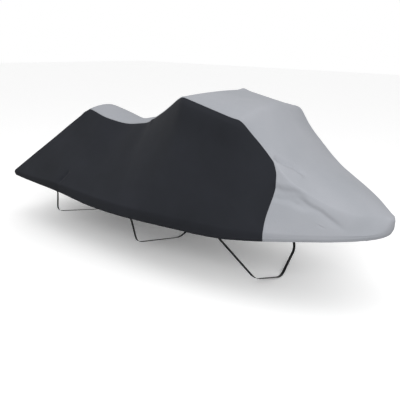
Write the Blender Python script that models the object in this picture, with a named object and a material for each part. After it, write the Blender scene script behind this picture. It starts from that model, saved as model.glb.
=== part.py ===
"""Fitted storage cover for a personal watercraft, in the shape it takes when it is on.

One light grey panel runs from the stern edge over the seat and the handlebars and widens into the hood over
the bow. A black panel on each side falls from the shoulder seam to the gunwale. Below the gunwale all three
turn down into a short skirt with a hem, and three webbing straps run underneath from hem to hem.

Frame: the bow is towards +X, starboard towards -Y, +Z up. The origin is under the roof, where the middle of
the handlebars holds the cloth up. The tables below are measured forward from the stern edge and upward from
a level just below the gunwale, and place() moves them into this frame. Metres throughout.
"""

import math

import bmesh
import bpy
import numpy as np
from mathutils import Vector

# Plan of the gunwale
LENGTH = 3.07
HALF_BEAM = 0.579
WIDEST_AT = 1.31
STERN_HALF_BEAM = 0.566
STERN_CORNER_RADIUS = 0.028
BOW_TAPER = 1.845  # power of the distance forward of the widest point
BOW_ROUNDNESS = 2.017  # 2 is an ellipse, more is blunter

# The turn from the sides into the skirt, and the skirt that hangs from it down to the hem. In these tables
# and the next ones the last column is how far on each side of a row the corner in the line is rounded off.
GUNWALE = (
    # station, height, rounding
    (0.00, 0.012, 0.00),
    (0.30, 0.018, 0.10),
    (0.62, 0.036, 0.15),
    (1.25, 0.020, 0.25),
    (1.80, 0.043, 0.20),
    (2.25, 0.045, 0.15),
    (2.60, 0.081, 0.12),
    (3.07, 0.134, 0.00),
)
SKIRT_DEPTHS = (
    # station, height of the skirt, rounding
    (0.00, 0.033, 0.00),  # pulled under at the stern corners
    (0.35, 0.058, 0.12),
    (0.75, 0.092, 0.12),
    (1.00, 0.105, 0.12),
    (1.40, 0.094, 0.20),
    (2.10, 0.083, 0.15),
    (2.45, 0.054, 0.12),
    (2.70, 0.037, 0.12),
    (3.07, 0.032, 0.00),
)

# What holds the cloth up, read across it at each station from the stern forward
ROOF = (
    # station, shoulder height, half width between the shoulders, crown of the roof above them, rounding
    (0.000, 0.600, 0.158, 0.017, 0.000),
    (0.607, 0.581, 0.141, 0.033, 0.050),  # rear end of the seat
    (0.789, 0.538, 0.158, 0.021, 0.060),
    (1.010, 0.501, 0.120, 0.020, 0.100),  # dip of the seat
    (1.283, 0.552, 0.163, 0.032, 0.040),
    (1.560, 0.683, 0.273, 0.030, 0.080),
    (1.720, 0.774, 0.341, 0.013, 0.030),
    (1.780, 0.800, 0.365, 0.008, 0.025),  # handlebar grips
    (2.241, 0.702, 0.398, 0.062, 0.030),  # mirrors
    (2.363, 0.574, 0.352, 0.065, 0.050),  # foot of the windscreen
    (2.567, 0.378, 0.361, 0.058, 0.090),  # hood
    (2.867, 0.235, 0.265, 0.071, 0.080),
    (3.080, 0.185, 0.030, 0.000, 0.000),
)
SEAT_END = 0.607
SEAT_END_HEIGHT = 0.608  # the stern slope runs from here down to the stern edge
STERN_SAG = 0.012
HANDLEBARS = 1.780
SHOULDER_ROUNDINGS = (
    # station, height over which the shoulder is rounded off, rounding
    (0.00, 0.019, 0.00),
    (2.46, 0.019, 0.04),
    (2.68, 0.080, 0.10),
    (3.08, 0.080, 0.00),
)
NARROWEST_SIDE = 0.020
SIDE_SPREAD = 0.24  # at the gunwale the side follows the roof's mean over this far fore and aft
SPREAD_WEIGHTS = (1, 6, 15, 20, 15, 6, 1)
PUSHES = (
    # station, distance to port, how far the cloth is pushed up, reach
    (1.780, 0.355, 0.009, 0.040),  # end of the port grip
    (2.241, -0.380, 0.007, 0.045),  # mirrors
    (2.241, 0.380, 0.007, 0.045),
)

# Where the grey hood meets the black side panels
SEAM_STATION = 2.445
SEAM_CURVE = (
    # share of the way down the side from shoulder to gunwale, how far forward of its station, rounding
    (0.00, 0.000, 0.00),
    (0.08, 0.028, 0.05),
    (0.22, 0.036, 0.08),
    (0.40, 0.033, 0.10),
    (0.80, 0.006, 0.10),
    (1.00, 0.006, 0.00),
)
SEAM_REACH = 0.35  # rows of cloth this far from the seam still bend with it

# Soft troughs where the cloth is slack, each a straight line on the cover
FOLDS = (
    # start station, start across, end station, end across, depth, half width
    (2.461, -0.325, 2.590, -0.227, 0.004, 0.030),
    (2.485, -0.377, 2.645, -0.342, 0.006, 0.035),
    (2.645, -0.342, 2.852, -0.263, 0.005, 0.032),
    (2.500, 0.372, 2.800, 0.287, 0.005, 0.035),
    (0.708, -0.505, 0.660, -0.562, 0.005, 0.030),
    (0.800, 0.480, 0.700, 0.555, 0.005, 0.033),
)

# Cloth and its skirt
CLOTH = 0.002
HEM_THICKNESS = 0.003
SEAM_GAP = 0.0003
SKIRT = (
    # share of the skirt's height, how far it is drawn in as a share of that height, thickness
    (0.35, 0.02, CLOTH),
    (1.00, 0.28, HEM_THICKNESS),
)

# Straps of flat webbing
STRAP_WIDTH = 0.020
STRAP_THICKNESS = 0.0016
STRAP_CLEARANCE = 0.0009
STRAP_ROOM_AFT = 0.032  # the skirt has a row of corners this far on each side of a strap's hem station
STRAP_ROOM_AHEAD = 0.018
STRAP_SEWN_FROM = 0.6  # share of the skirt's height where the sewn end starts
STRAP_BENDS_AT = 1.15  # and where, just below the hem, the strap turns inboard
STRAP_BEND_RADIUS = 0.05
STRAP_BEND_STEPS = 4
STRAP_STEP = 0.06  # longest straight piece of a strap
STRAPS = (
    # name, hem station, bend station, bend half width, bend height, lowest station, lowest height
    ("belly_strap_rear", 0.613, 0.613, 0.560, -0.217, 0.613, -0.360),
    ("belly_strap_middle", 1.466, 1.466, 0.492, -0.266, 1.466, -0.400),
    ("belly_strap_front", 2.184, 2.356, 0.300, -0.329, 2.400, -0.430),
)

# How finely the cloth is divided
ROW_SPACING = 0.075
STERN_CORNER_ROW = 0.015  # one more row in the rounded stern corners
HOOD_ROW_SPACING = 0.045
LAST_ROW = 2.98  # the last row curves round the bow from here
BOW_ROWS_FROM = 2.72  # rows forward of this turn gradually into the bow's outline
SIDE_COLUMNS = 12
ROOF_COLUMNS = 10
COLUMNS = 2 * SIDE_COLUMNS + ROOF_COLUMNS
SHARPEST_MITRE = 0.6  # the wall stays under 1 / 0.6 of the cloth's thickness at its sharpest corners
CREASE_ANGLE = math.radians(40)

BLACK = (0.030, 0.029, 0.032)
LIGHT_GREY = (0.418, 0.430, 0.450)
WEBBING_BLACK = (0.012, 0.012, 0.013)


def clear_scene():
    for thing in list(bpy.data.objects):
        bpy.data.objects.remove(thing, do_unlink=True)


def cloth_material(name, colour, roughness):
    material = bpy.data.materials.new(name)
    material.use_nodes = True
    shader = material.node_tree.nodes["Principled BSDF"]
    shader.inputs["Base Color"].default_value = (*colour, 1.0)
    shader.inputs["Roughness"].default_value = roughness
    shader.inputs["Metallic"].default_value = 0.0
    return material


def rounded_line(table, column, at):
    """A table's column at a place: straight from row to row, with the corner at each row rounded off."""
    rows = np.array(table)
    places, values, roundings = rows[:, 0], rows[:, column], rows[:, -1]
    slopes = np.diff(values) / np.diff(places)
    k = int(np.clip(np.searchsorted(places, at) - 1, 0, len(slopes) - 1))
    value = values[k] + slopes[k] * (at - places[k])
    for corner in (k, k + 1):
        lead = roundings[corner] - abs(at - places[corner])
        if lead > 0:
            value += (slopes[corner] - slopes[corner - 1]) * lead**2 / (4 * roundings[corner])
    return value


def roof_at(station):
    """(shoulder height, half width, crown) at a station."""
    return [rounded_line(ROOF, column, station) for column in (1, 2, 3)]


def spread_roof_at(station, reach):
    """(shoulder height, half width) averaged over the stations within reach."""
    steps = np.linspace(-reach, reach, len(SPREAD_WEIGHTS))
    nearby = [roof_at(station + step)[:2] for step in steps]
    return np.average(nearby, axis=0, weights=SPREAD_WEIGHTS)


def half_beam(station):
    """Half the gunwale's width at a station."""
    if station < WIDEST_AT:
        swell = math.sin(math.pi / 2 * max(station, 0.0) / WIDEST_AT)
        half = STERN_HALF_BEAM + (HALF_BEAM - STERN_HALF_BEAM) * swell
    else:
        forward = min((station - WIDEST_AT) / (LENGTH - WIDEST_AT), 1.0)
        half = HALF_BEAM * (1 - forward**BOW_TAPER) ** (1 / BOW_ROUNDNESS)
    corner = min(max(1 - station / STERN_CORNER_RADIUS, 0.0), 1.0)
    return half - STERN_CORNER_RADIUS * (1 - math.sqrt(1 - corner**2))


def bow_station(across):
    """The station at which the bow's outline is this far from the middle: half_beam turned round."""
    share = min(abs(across) / HALF_BEAM, 1.0)
    return WIDEST_AT + (LENGTH - WIDEST_AT) * (1 - share**BOW_ROUNDNESS) ** (1 / BOW_TAPER)


def skirt_depth(station):
    return rounded_line(SKIRT_DEPTHS, 1, station)


def gunwale_height(station):
    return rounded_line(GUNWALE, 1, station)


def soft_lower(a, b, rounding):
    """The lower of two heights, rounded where they cross."""
    share = min(max(0.5 + 0.5 * (b - a) / rounding, 0.0), 1.0)
    return b * (1 - share) + a * share - rounding * share * (1 - share)


def stretched_height(station, across):
    """Height of the cloth pulled tight: roof, straight sides and stern slope."""
    shoulder, half_width, crown = roof_at(station)
    gunwale = gunwale_height(station)
    beam = half_beam(station)
    roof = shoulder + crown * (1 - (across / half_width) ** 2)
    outboard = (beam - abs(across)) / max(beam - half_width, NARROWEST_SIDE)
    shoulder, half_width = spread_roof_at(station, SIDE_SPREAD * min(max(1 - outboard, 0.0), 1.0))
    outboard = (beam - abs(across)) / max(beam - half_width, NARROWEST_SIDE)
    side = gunwale + (shoulder - gunwale) * outboard
    aft = min(max(station / SEAT_END, 0.0), 1.0)
    stern = gunwale + (SEAT_END_HEIGHT - gunwale) * station / SEAT_END - 4 * STERN_SAG * aft * (1 - aft)
    rounding = rounded_line(SHOULDER_ROUNDINGS, 1, station)
    height = soft_lower(soft_lower(roof, side, rounding), stern, rounding)
    for push_station, push_across, pushed_up, reach in PUSHES:
        away = math.hypot(station - push_station, across - push_across)
        height += pushed_up * math.exp(-((away / reach) ** 2))
    return height


def on_cloth(station, across):
    return Vector((station, across, stretched_height(station, across)))


def fold_lines():
    """Each fold as (start, run to its end, depth, half width), on the stretched cloth."""
    lines = []
    for start_station, start_across, end_station, end_across, deepest, half_width in FOLDS:
        start = on_cloth(start_station, start_across)
        lines.append((start, on_cloth(end_station, end_across) - start, deepest, half_width))
    return lines


def fold_depth(point, lines):
    """How far the folds draw the cloth in at a point."""
    depth = 0.0
    for start, along, deepest, half_width in lines:
        share = min(max((point - start).dot(along) / along.length_squared, 0.0), 1.0)
        distance = (point - start - along * share).length
        depth += deepest * math.exp(-((distance / half_width) ** 2))
    return depth


def seam_offset(share):
    """How far the hood seam lies from its own station, share of the way from shoulder to gunwale."""
    return rounded_line(SEAM_CURVE, 1, share)


def spaced(start, end, spacing):
    """Even steps from start up to but not including end."""
    count = max(1, round((end - start) / spacing))
    return [start + (end - start) * k / count for k in range(count)]


def row_stations():
    """Stations of the rows, and which of them is the hood seam's.

    The stern slope has a row for each column of the side, so that its ridge, from the seat's rear end to the
    stern corner, runs from corner to corner of the cells. Forward of it a row lies on each feature and on
    each side of a strap.
    """
    beside_straps = [strap[1] + reach for strap in STRAPS for reach in (-STRAP_ROOM_AFT, STRAP_ROOM_AHEAD)]
    slope = [SEAT_END * k / SIDE_COLUMNS for k in range(SIDE_COLUMNS)]
    aft = sorted(slope + [STERN_CORNER_ROW] + [station for station in beside_straps if station < SEAT_END])
    features = [station for station in beside_straps if station > SEAT_END]
    supports = [row[0] for row in ROOF if SEAT_END <= row[0] < SEAM_STATION]
    stops = sorted(features + supports + [SEAM_STATION])
    for start, end in zip(stops, stops[1:]):
        aft += spaced(start, end, ROW_SPACING)
    hood = spaced(SEAM_STATION, LAST_ROW, HOOD_ROW_SPACING) + [LAST_ROW]
    return aft + hood, len(aft)


def column_place(station, column):
    """(distance across, share of the side from shoulder to gunwale) of a column at a station."""
    half_width = min(roof_at(station)[1], half_beam(station) - NARROWEST_SIDE)
    if column < SIDE_COLUMNS:
        share = 1 - column / SIDE_COLUMNS
        return -(half_width + (half_beam(station) - half_width) * share), share
    if column > SIDE_COLUMNS + ROOF_COLUMNS:
        share = (column - SIDE_COLUMNS - ROOF_COLUMNS) / SIDE_COLUMNS
        return half_width + (half_beam(station) - half_width) * share, share
    return half_width * (2 * (column - SIDE_COLUMNS) / ROOF_COLUMNS - 1), 0.0


def cloth_point(row_station, column):
    """One corner of the cloth's grid, before its folds."""
    share = column_place(row_station, column)[1]
    bend = max(0.0, 1 - abs(row_station - SEAM_STATION) / SEAM_REACH)
    station = row_station + seam_offset(share) * bend
    across = column_place(station, column)[0]
    if row_station > BOW_ROWS_FROM:
        turn = (row_station - BOW_ROWS_FROM) / (LAST_ROW - BOW_ROWS_FROM)
        station += (bow_station(across) - station) * turn
    return on_cloth(station, across)


def top_grid(rows):
    return {
        (i, j, 0): cloth_point(station, j) for i, station in enumerate(rows) for j in range(COLUMNS + 1)
    }


def rim_of(last_row):
    """The grid's edge as a loop: forward on starboard, round the bow, back on port, across the stern."""
    return (
        [(i, 0) for i in range(last_row)]
        + [(last_row, j) for j in range(COLUMNS)]
        + [(i, COLUMNS) for i in range(last_row, 0, -1)]
        + [(0, j) for j in range(COLUMNS, 0, -1)]
    )


def hang_skirt(points, rim):
    """Adds the skirt's corners below the rim, each drawn in at right angles to the gunwale."""
    for k, (i, j) in enumerate(rim):
        before = points[(*rim[k - 1], 0)]
        after = points[(*rim[(k + 1) % len(rim)], 0)]
        outward = Vector((after.y - before.y, before.x - after.x, 0)).normalized()
        depth = skirt_depth(points[i, j, 0].x)
        for step, (down, drawn_in, _) in enumerate(SKIRT, 1):
            points[i, j, step] = points[i, j, 0] - (outward * drawn_in + Vector((0, 0, down))) * depth


def panel_of(i, j, seam_row):
    if i < seam_row and j < SIDE_COLUMNS:
        return "starboard_side_panel"
    if i < seam_row and j >= SIDE_COLUMNS + ROOF_COLUMNS:
        return "port_side_panel"
    return "centre_hood_panel"


def cut_cells(last_row, seam_row, rim):
    """Every four-cornered cell of the cloth under its panel's name, its corners as seen from outside."""
    panels = {}
    for i in range(last_row):
        for j in range(COLUMNS):
            cell = ((i, j, 0), (i + 1, j, 0), (i + 1, j + 1, 0), (i, j + 1, 0))
            panels.setdefault(panel_of(i, j, seam_row), []).append(cell)
    for k, here in enumerate(rim):
        there = rim[(k + 1) % len(rim)]
        beside = min(here[0], there[0], last_row - 1), min(here[1], there[1], COLUMNS - 1)
        for step in range(len(SKIRT)):
            cell = ((*here, step), (*here, step + 1), (*there, step + 1), (*there, step))
            panels[panel_of(*beside, seam_row)].append(cell)
    return panels


def cell_normal(points, cell):
    a, b, c, d = (points[key] for key in cell)
    return (c - a).cross(d - b).normalized()


def corner_normals(points, panels):
    """The cloth's direction at each corner, and how much longer a mitred wall is there."""
    meeting = {}
    for cells in panels.values():
        for cell in cells:
            for key in cell:
                meeting.setdefault(key, []).append(cell_normal(points, cell))
    normals, mitres = {}, {}
    for key, faces in meeting.items():
        normal = sum(faces, Vector()).normalized()
        normals[key] = normal
        mitres[key] = 1 / max(SHARPEST_MITRE, sum(normal.dot(face) for face in faces) / len(faces))
    return normals, mitres


def drawn_back(points, normals, cells, seams):
    """Corners of one panel, those on a seam moved half the gap towards the panel's own cells."""
    own = {}
    for cell in cells:
        middle = sum((points[key] for key in cell), Vector()) / len(cell)
        for key in cell:
            own.setdefault(key, []).append(middle)
    corners = {}
    for key, middles in own.items():
        corners[key] = points[key].copy()
        if key in seams:
            inward = sum(middles, Vector()) / len(middles) - points[key]
            inward -= normals[key] * inward.dot(normals[key])
            corners[key] += inward.normalized() * (SEAM_GAP / 2)
    return corners


def two_triangles(points, cell):
    """Splits a cell along the diagonal that lies closer to the stretched cloth."""
    a, b, c, d = cell
    if any(key[2] for key in cell):
        return (a, b, c), (a, c, d)
    first = (points[a] + points[c]) / 2
    second = (points[b] + points[d]) / 2
    first_error = abs(first.z - stretched_height(first.x, first.y))
    second_error = abs(second.z - stretched_height(second.x, second.y))
    if first_error <= second_error:
        return (a, b, c), (a, c, d)
    return (a, b, d), (b, c, d)


def place(point):
    """From stern and gunwale measurements to the part's frame."""
    roof_underside = stretched_height(HANDLEBARS, 0) - CLOTH
    return point - Vector((HANDLEBARS, 0, roof_underside))


def new_object(name, mesh_builder, material):
    mesh = bpy.data.meshes.new(name)
    mesh_builder.to_mesh(mesh)
    mesh_builder.free()
    mesh.materials.append(material)
    mesh.shade_smooth()
    mesh.set_sharp_from_angle(angle=CREASE_ANGLE)
    thing = bpy.data.objects.new(name, mesh)
    bpy.context.scene.collection.objects.link(thing)
    return thing


def sew_panel(name, points, cells, normals, mitres, seams, material):
    """A panel of cloth as a closed wall: outer face, inner face, and the cut edge between them."""
    thickness = [CLOTH] + [row[2] for row in SKIRT]
    corners = drawn_back(points, normals, cells, seams)
    wall = bmesh.new()
    outer, inner = {}, {}
    for key, corner in corners.items():
        depth = thickness[key[2]] * mitres[key]
        outer[key] = wall.verts.new(place(corner))
        inner[key] = wall.verts.new(place(corner - normals[key] * depth))
    edges = {}
    for cell in cells:
        for triangle in two_triangles(points, cell):
            wall.faces.new([outer[key] for key in triangle])
            wall.faces.new([inner[key] for key in reversed(triangle)])
            for k in range(3):
                edges[triangle[k], triangle[(k + 1) % 3]] = True
    for start, end in edges:
        if (end, start) not in edges:
            wall.faces.new((outer[end], outer[start], inner[start], inner[end]))
    bmesh.ops.triangulate(wall, faces=[face for face in wall.faces if len(face.verts) > 3])
    return new_object(name, wall, material)


def make_panels():
    rows, seam_row = row_stations()
    last_row = len(rows) - 1
    rim = rim_of(last_row)
    points = top_grid(rows)
    hang_skirt(points, rim)
    panels = cut_cells(last_row, seam_row, rim)
    flat_normals, _ = corner_normals(points, panels)
    lines = fold_lines()
    for key in points:
        points[key] = points[key] - flat_normals[key] * fold_depth(points[key], lines)
    normals, mitres = corner_normals(points, panels)
    touched = {}
    for name, cells in panels.items():
        for cell in cells:
            for key in cell:
                touched.setdefault(key, set()).add(name)
    seams = {key for key, names in touched.items() if len(names) > 1}
    grey = cloth_material("light_grey_polyester_canvas", LIGHT_GREY, 0.85)
    black = cloth_material("black_polyester_canvas", BLACK, 0.8)
    for name, cells in panels.items():
        material = grey if name == "centre_hood_panel" else black
        sew_panel(name, points, cells, normals, mitres, seams, material)


def with_straight_steps(path):
    """The same path with its long straight runs divided, so that the strap turns evenly along them."""
    divided = [path[0]]
    for start, end in zip(path, path[1:]):
        count = math.ceil((end - start).length / STRAP_STEP)
        divided += [start.lerp(end, k / count) for k in range(1, count + 1)]
    return divided


def rounded_path(corners):
    """The corners joined by straight runs, with a bend of the strap's radius at each one between."""
    path = [corners[0]]
    for before, corner, after in zip(corners, corners[1:], corners[2:]):
        reach = min(STRAP_BEND_RADIUS, (before - corner).length / 3, (after - corner).length / 3)
        start = corner + (before - corner).normalized() * reach
        end = corner + (after - corner).normalized() * reach
        for k in range(STRAP_BEND_STEPS + 1):
            t = k / STRAP_BEND_STEPS
            path.append(start * (1 - t) ** 2 + corner * 2 * t * (1 - t) + end * t**2)
    return with_straight_steps(path + [corners[-1]])


def starboard_outward(station):
    """Level direction square to the starboard gunwale, away from the cover."""
    step = STRAP_WIDTH / 2
    widening = (half_beam(station + step) - half_beam(station - step)) / (2 * step)
    return Vector((-widening, -1, 0)).normalized()


def behind_skirt(station, share):
    """Middle of a strap's thickness behind the starboard skirt, this share of the way down to the hem."""
    gunwale = Vector((station, -half_beam(station), gunwale_height(station)))
    depth = skirt_depth(station)
    (above, start, _), (below, end, _) = SKIRT
    drawn_in = depth * (start + (end - start) * (share - above) / (below - above))
    inward = drawn_in + HEM_THICKNESS + STRAP_CLEARANCE + STRAP_THICKNESS / 2
    return gunwale - starboard_outward(station) * inward - Vector((0, 0, depth * share))


def strap_corners(hem_station, bend, lowest):
    """From the sewn end behind the starboard skirt, round its bend to its lowest point, and up to port."""
    hem = behind_skirt(hem_station, STRAP_BENDS_AT)
    lean = (bend.x - hem.x) / (hem.z - bend.z)
    sewn_station = hem_station - lean * skirt_depth(hem_station) * (STRAP_BENDS_AT - STRAP_SEWN_FROM)
    starboard = [behind_skirt(sewn_station, STRAP_SEWN_FROM), hem, bend]
    port = [Vector((point.x, -point.y, point.z)) for point in reversed(starboard)]
    return starboard + [lowest] + port


def strap_width(point, along, hem_station):
    """Direction of the strap's width: along the gunwale at each hem, straight ahead at its lowest point."""
    outward = starboard_outward(hem_station)
    sideways = point.y / behind_skirt(hem_station, 1.0).y
    ahead = Vector((-outward.y, outward.x * sideways, 0))
    return (ahead - along * ahead.dot(along)).normalized()


def make_strap(name, hem_station, bend_station, bend_half, bend_z, lowest_station, lowest_z, material):
    bend = Vector((bend_station, -bend_half, bend_z))
    lowest = Vector((lowest_station, 0, lowest_z))
    path = rounded_path(strap_corners(hem_station, bend, lowest))
    web = bmesh.new()
    rings = []
    for k, point in enumerate(path):
        along = (path[min(k + 1, len(path) - 1)] - path[max(k - 1, 0)]).normalized()
        width = strap_width(point, along, hem_station)
        half = along.cross(width) * (STRAP_THICKNESS / 2)
        across = width * (STRAP_WIDTH / 2)
        ring = [point + across + half, point - across + half, point - across - half, point + across - half]
        rings.append([web.verts.new(place(corner)) for corner in ring])
    for ring, following in zip(rings, rings[1:]):
        for k in range(4):
            web.faces.new((ring[k], ring[(k + 1) % 4], following[(k + 1) % 4], following[k]))
    web.faces.new(reversed(rings[0]))
    web.faces.new(rings[-1])
    bmesh.ops.recalc_face_normals(web, faces=web.faces)
    bmesh.ops.triangulate(web, faces=web.faces)
    return new_object(name, web, material)


def main():
    clear_scene()
    make_panels()
    webbing = cloth_material("black_polypropylene_webbing", WEBBING_BLACK, 0.6)
    for strap in STRAPS:
        make_strap(*strap, webbing)


main()
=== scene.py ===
"""Looks of a fitted storage cover for a personal watercraft: cloth, sewing and belly straps."""

import math

import bpy
import numpy as np
from mathutils import Matrix, Vector


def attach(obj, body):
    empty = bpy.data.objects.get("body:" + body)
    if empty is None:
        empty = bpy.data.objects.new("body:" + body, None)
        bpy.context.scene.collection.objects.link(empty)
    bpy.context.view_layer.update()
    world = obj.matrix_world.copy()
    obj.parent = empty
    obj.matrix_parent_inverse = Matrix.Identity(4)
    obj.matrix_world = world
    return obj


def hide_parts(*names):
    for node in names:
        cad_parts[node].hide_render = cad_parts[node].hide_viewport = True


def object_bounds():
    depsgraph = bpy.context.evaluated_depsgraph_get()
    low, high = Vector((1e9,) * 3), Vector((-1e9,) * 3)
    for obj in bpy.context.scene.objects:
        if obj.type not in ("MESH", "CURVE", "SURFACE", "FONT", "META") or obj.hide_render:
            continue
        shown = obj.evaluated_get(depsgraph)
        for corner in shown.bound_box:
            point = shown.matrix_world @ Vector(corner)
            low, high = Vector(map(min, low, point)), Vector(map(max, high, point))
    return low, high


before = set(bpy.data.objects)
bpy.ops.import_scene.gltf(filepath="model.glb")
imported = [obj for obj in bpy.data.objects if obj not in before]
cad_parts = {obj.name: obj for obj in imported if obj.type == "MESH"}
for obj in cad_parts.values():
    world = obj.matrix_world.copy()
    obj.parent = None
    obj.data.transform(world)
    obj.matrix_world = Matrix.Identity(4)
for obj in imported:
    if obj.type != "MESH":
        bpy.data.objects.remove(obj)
cad_low, cad_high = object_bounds()
bpy.ops.object.select_all(action="DESELECT")


# ---- Centre and hood panel -----------------------------------------------------------------------
# One length of light grey solution-dyed polyester canvas, cut wide at the front for the hood and
# pulled tight over the seat, handlebars, mirrors and bow. Its edges are turned under and sewn over
# the black panels. Stations are metres from the stern edge, heights from just under the gunwale.

LENGTH = 3.07
HALF_BEAM = 0.579
WIDEST_AT = 1.31
STERN_HALF_BEAM = 0.566
STERN_CORNER_RADIUS = 0.028
BOW_TAPER = 1.845
BOW_ROUNDNESS = 2.017
GUNWALE = (
    # station, height, rounding
    (0.00, 0.012, 0.00),
    (0.30, 0.018, 0.10),
    (0.62, 0.036, 0.15),
    (1.25, 0.020, 0.25),
    (1.80, 0.043, 0.20),
    (2.25, 0.045, 0.15),
    (2.60, 0.081, 0.12),
    (3.07, 0.134, 0.00),
)
SKIRT_DEPTHS = (
    # station, height of the skirt, rounding
    (0.00, 0.033, 0.00),  # pulled under at the stern corners
    (0.35, 0.058, 0.12),
    (0.75, 0.092, 0.12),
    (1.00, 0.105, 0.12),
    (1.40, 0.094, 0.20),
    (2.10, 0.083, 0.15),
    (2.45, 0.054, 0.12),
    (2.70, 0.037, 0.12),
    (3.07, 0.032, 0.00),
)
ROOF = (
    # station, shoulder height, half width between the shoulders, crown of the roof, rounding
    (0.000, 0.600, 0.158, 0.017, 0.000),
    (0.607, 0.581, 0.141, 0.033, 0.050),  # rear end of the seat
    (0.789, 0.538, 0.158, 0.021, 0.060),
    (1.010, 0.501, 0.120, 0.020, 0.100),  # dip of the seat
    (1.283, 0.552, 0.163, 0.032, 0.040),
    (1.560, 0.683, 0.273, 0.030, 0.080),
    (1.720, 0.774, 0.341, 0.013, 0.030),
    (1.780, 0.800, 0.365, 0.008, 0.025),  # handlebar grips
    (2.241, 0.702, 0.398, 0.062, 0.030),  # mirrors
    (2.363, 0.574, 0.352, 0.065, 0.050),  # foot of the windscreen
    (2.567, 0.378, 0.361, 0.058, 0.090),  # hood
    (2.867, 0.235, 0.265, 0.071, 0.080),
    (3.080, 0.185, 0.030, 0.000, 0.000),
)
SEAT_END = 0.607
SEAT_END_HEIGHT = 0.608
STERN_SAG = 0.012
HANDLEBARS = 1.780
SHOULDER_ROUNDINGS = (
    # station, height over which the shoulder is rounded off, rounding
    (0.00, 0.019, 0.00),
    (2.46, 0.019, 0.04),
    (2.68, 0.080, 0.10),
    (3.08, 0.080, 0.00),
)
NARROWEST_SIDE = 0.020
SIDE_SPREAD = 0.24
SPREAD_WEIGHTS = (1, 6, 15, 20, 15, 6, 1)
PUSHES = (
    # station, distance to port, how far the cloth is pushed up, reach
    (1.780, 0.355, 0.009, 0.040),  # end of the port grip
    (2.241, -0.380, 0.007, 0.045),  # mirrors
    (2.241, 0.380, 0.007, 0.045),
)
SEAM_STATION = 2.445
SEAM_CURVE = (
    # share of the way down the side, how far forward of its station, rounding
    (0.00, 0.000, 0.00),
    (0.08, 0.028, 0.05),
    (0.22, 0.036, 0.08),
    (0.40, 0.033, 0.10),
    (0.80, 0.006, 0.10),
    (1.00, 0.006, 0.00),
)
SEAM_REACH = 0.35
BOW_ROWS_FROM = 2.72
LAST_ROW = 2.98


def rounded_line(table, column, at):
    """A table's column, straight from row to row; a row's last value says how far to round it."""
    rows = np.array(table)
    places, values, roundings = rows[:, 0], rows[:, column], rows[:, -1]
    slopes = np.diff(values) / np.diff(places)
    k = np.clip(np.searchsorted(places, at) - 1, 0, len(slopes) - 1)
    line = values[k] + slopes[k] * (at - places[k])
    for corner in range(1, len(slopes)):
        lead = np.maximum(roundings[corner] - np.abs(at - places[corner]), 0)
        line = line + (slopes[corner] - slopes[corner - 1]) * lead**2 / (4 * roundings[corner])
    return line


def roof_at(station):
    """Shoulder height, half width and crown."""
    return [rounded_line(ROOF, column, station) for column in (1, 2, 3)]


def spread_roof_at(station, reach):
    """Shoulder height and half width averaged over the stations within reach."""
    steps = np.linspace(-1, 1, len(SPREAD_WEIGHTS))
    nearby = [roof_at(station + reach * step)[:2] for step in steps]
    return np.average(nearby, axis=0, weights=SPREAD_WEIGHTS)


def half_beam(station):
    swell = np.sin(math.pi / 2 * np.clip(station / WIDEST_AT, 0, 1))
    aft = STERN_HALF_BEAM + (HALF_BEAM - STERN_HALF_BEAM) * swell
    forward = np.clip((station - WIDEST_AT) / (LENGTH - WIDEST_AT), 0, 1)
    ahead = HALF_BEAM * (1 - forward**BOW_TAPER) ** (1 / BOW_ROUNDNESS)
    corner = np.clip(1 - station / STERN_CORNER_RADIUS, 0, 1)
    rounded_off = STERN_CORNER_RADIUS * (1 - np.sqrt(1 - corner**2))
    return np.where(station < WIDEST_AT, aft, ahead) - rounded_off


def bow_station(across):
    share = np.clip(np.abs(across) / HALF_BEAM, 0, 1)
    return WIDEST_AT + (LENGTH - WIDEST_AT) * (1 - share**BOW_ROUNDNESS) ** (1 / BOW_TAPER)


def gunwale_height(station):
    return rounded_line(GUNWALE, 1, station)


def skirt_depth(station):
    return rounded_line(SKIRT_DEPTHS, 1, station)


def soft_lower(a, b, rounding):
    """The lower of two heights, rounded off where they cross."""
    share = np.clip(0.5 + 0.5 * (b - a) / rounding, 0, 1)
    return b * (1 - share) + a * share - rounding * share * (1 - share)


def stretched_height(station, across):
    """Height of the tight cloth: the lowest of roof, sides and stern, and the pushes from below."""
    shoulder, half_width, crown = roof_at(station)
    gunwale = gunwale_height(station)
    beam = half_beam(station)
    roof = shoulder + crown * (1 - (across / half_width) ** 2)
    outboard = (beam - np.abs(across)) / np.maximum(beam - half_width, NARROWEST_SIDE)
    shoulder, half_width = spread_roof_at(station, SIDE_SPREAD * np.clip(1 - outboard, 0, 1))
    outboard = (beam - np.abs(across)) / np.maximum(beam - half_width, NARROWEST_SIDE)
    side = gunwale + (shoulder - gunwale) * outboard
    aft = np.clip(station / SEAT_END, 0, 1)
    sag = 4 * STERN_SAG * aft * (1 - aft)
    stern = gunwale + (SEAT_END_HEIGHT - gunwale) * station / SEAT_END - sag
    rounding = rounded_line(SHOULDER_ROUNDINGS, 1, station)
    height = soft_lower(soft_lower(roof, side, rounding), stern, rounding)
    for push_station, push_across, pushed_up, reach in PUSHES:
        away = np.hypot(station - push_station, across - push_across)
        height = height + pushed_up * np.exp(-((away / reach) ** 2))
    return height


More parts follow.
